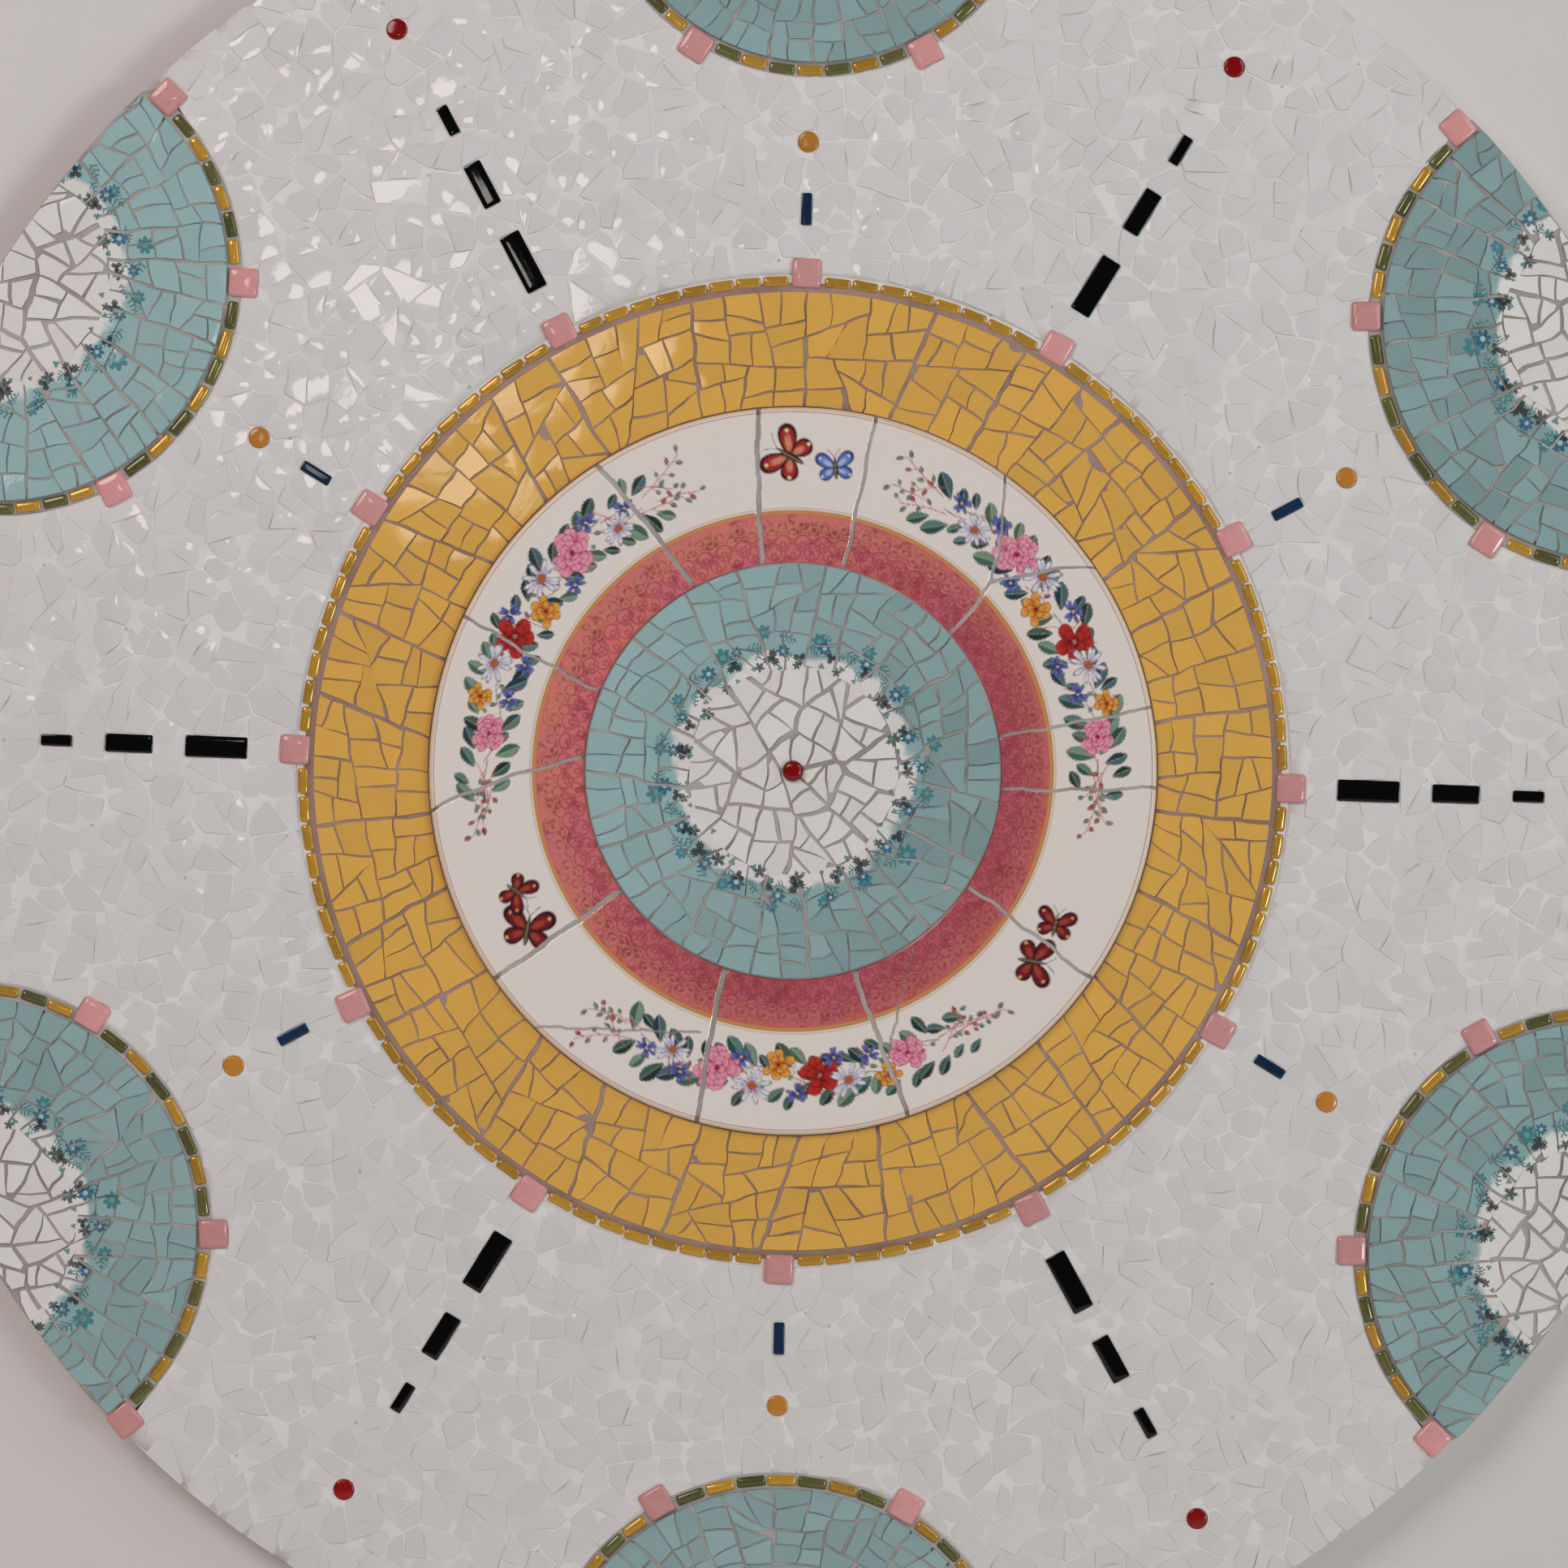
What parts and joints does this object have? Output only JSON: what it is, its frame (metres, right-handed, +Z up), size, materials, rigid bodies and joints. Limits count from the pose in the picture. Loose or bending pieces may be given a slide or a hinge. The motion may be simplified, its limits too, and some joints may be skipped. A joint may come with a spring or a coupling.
{
  "type": "mosaic panel",
  "caption": "Round mosaic wall panel: a broken plate and dish at the centre, a yellow band edged with glass rods, a white crockery field and half-dish medallions on its rim.",
  "frame": {"origin": "centre of the flat back face, in the plane of the wall", "axes": "+Z up, +X to the right of someone facing the mosaic, +Y into the wall; the mosaic faces -Y"},
  "size_m": [0.7, 0.0202, 0.7],
  "materials": {
    "board": "sealed and primed white, matt",
    "white_crockery": "glossy white glaze in pale grout",
    "turquoise_crockery": "glossy turquoise and white glaze in grey grout",
    "yellow_crockery": "glossy yellow glaze in grey-mauve grout",
    "porcelain": "glossy glaze with printed flowers, a crimson band and gold lines",
    "glass_edging": "glossy olive and gold rods with pink pillow tiles",
    "black_glass": "opaque black glass, polished",
    "blue_glass": "opaque dark blue glass, polished",
    "ochre_glaze": "satin ochre glaze",
    "red_glaze": "glossy red glaze"
  },
  "bodies": {
    "root": {"backing_board": "board", "white_field": "white_crockery", "centre_dish": "turquoise_crockery", "yellow_band": "yellow_crockery", "ring_edging": "glass_edging", "plate_shard_1": "porcelain", "plate_shard_2": "porcelain", "plate_shard_3": "porcelain", "plate_shard_4": "porcelain", "plate_shard_5": "porcelain", "plate_shard_6": "porcelain", "plate_shard_7": "porcelain", "plate_shard_8": "porcelain", "plate_shard_9": "porcelain", "plate_shard_10": "porcelain", "plate_shard_11": "porcelain", "plate_shard_12": "porcelain", "plate_shard_13": "porcelain", "rim_medallion_1": "turquoise_crockery", "rim_medallion_2": "turquoise_crockery", "rim_medallion_3": "turquoise_crockery", "rim_medallion_4": "turquoise_crockery", "rim_medallion_5": "turquoise_crockery", "rim_medallion_6": "turquoise_crockery", "black_bar_1_inner": "black_glass", "black_bar_1_middle": "black_glass", "black_bar_1_outer": "black_glass", "black_bar_2_inner": "black_glass", "black_bar_2_middle": "black_glass", "black_bar_2_outer": "black_glass", "black_bar_3_inner": "black_glass", "black_bar_3_middle": "black_glass", "black_bar_3_outer": "black_glass", "black_bar_4_inner": "black_glass", "black_bar_4_middle": "black_glass", "black_bar_4_outer": "black_glass", "black_bar_5_inner": "black_glass", "black_bar_5_middle": "black_glass", "black_bar_5_outer": "black_glass", "black_bar_6_inner": "black_glass", "black_bar_6_middle": "black_glass", "black_bar_6_outer": "black_glass", "blue_bar_1": "blue_glass", "blue_bar_2": "blue_glass", "blue_bar_3": "blue_glass", "blue_bar_4": "blue_glass", "blue_bar_5": "blue_glass", "blue_bar_6": "blue_glass", "ochre_disc_1": "ochre_glaze", "ochre_disc_2": "ochre_glaze", "ochre_disc_3": "ochre_glaze", "ochre_disc_4": "ochre_glaze", "ochre_disc_5": "ochre_glaze", "ochre_disc_6": "ochre_glaze", "red_disc_1": "red_glaze", "red_disc_2": "red_glaze", "red_disc_3": "red_glaze", "red_disc_4": "red_glaze", "red_disc_5": "red_glaze", "red_disc_6": "red_glaze"}
  },
  "joints": []
}
